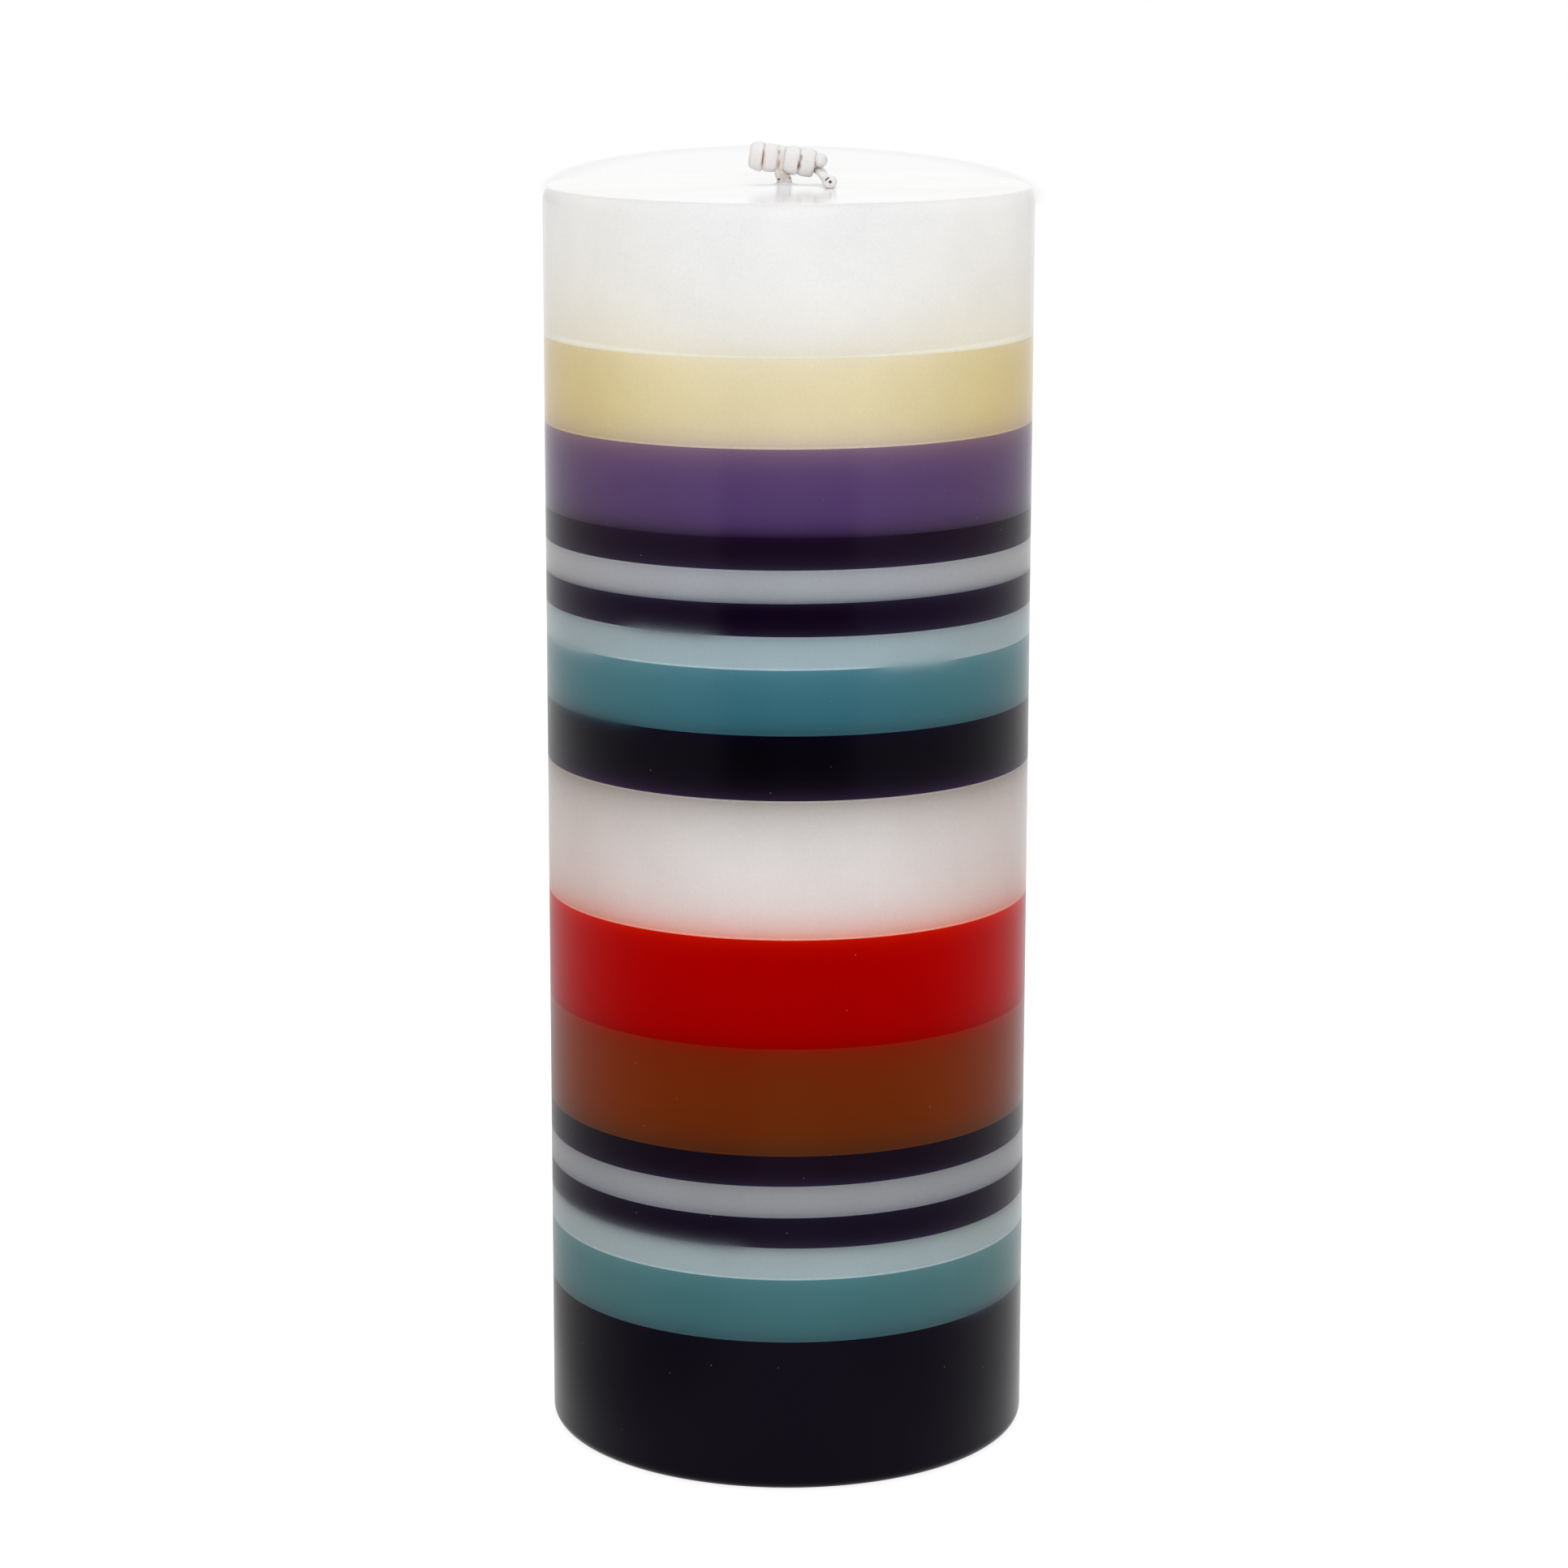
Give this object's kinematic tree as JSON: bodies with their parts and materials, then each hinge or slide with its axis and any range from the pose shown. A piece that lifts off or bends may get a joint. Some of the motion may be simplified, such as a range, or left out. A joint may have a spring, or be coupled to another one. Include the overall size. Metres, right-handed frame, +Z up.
{
  "type": "pillar candle",
  "caption": "Round pillar candle in level layers of coloured wax, with a flat braided wick wound up round itself on top.",
  "frame": {"origin": "centre of the flat base, where the candle rests", "axes": "+Z up along the candle's axis, +Y away from the viewer, the wound wick lying along X"},
  "size_m": [0.0762, 0.0762, 0.2055],
  "materials": {
    "wax_black": "polished black wax",
    "wax_teal": "polished dyed wax, slightly translucent",
    "wax_pale_blue": "polished dyed wax, slightly translucent",
    "wax_grey": "polished dyed wax, slightly translucent",
    "wax_brown": "polished dyed wax",
    "wax_red": "polished dyed wax",
    "wax_warm_white": "polished undyed wax, translucent",
    "wax_purple": "polished dyed wax",
    "wax_cream": "polished dyed wax, slightly translucent",
    "wax_white": "polished undyed wax, mirror-smooth on top",
    "cotton_braid": "braided cotton, primed with wax",
    "tinplate": "tinned sheet steel, satin"
  },
  "bodies": {
    "root": {"base_layer_black": "wax_black", "lower_layer_teal": "wax_teal", "lower_layer_pale_blue": "wax_pale_blue", "lower_layer_black": "wax_black", "lower_layer_grey": "wax_grey", "lower_layer_upper_black": "wax_black", "middle_layer_brown": "wax_brown", "middle_layer_red": "wax_red", "middle_layer_white": "wax_warm_white", "upper_layer_lower_black": "wax_black", "upper_layer_teal": "wax_teal", "upper_layer_pale_blue": "wax_pale_blue", "upper_layer_black": "wax_black", "upper_layer_grey": "wax_grey", "upper_layer_upper_black": "wax_black", "top_layer_purple": "wax_purple", "top_layer_cream": "wax_cream", "top_layer_white": "wax_white", "wick": "cotton_braid", "wick_coil": "cotton_braid", "wick_sustainer": "tinplate"}
  },
  "joints": []
}
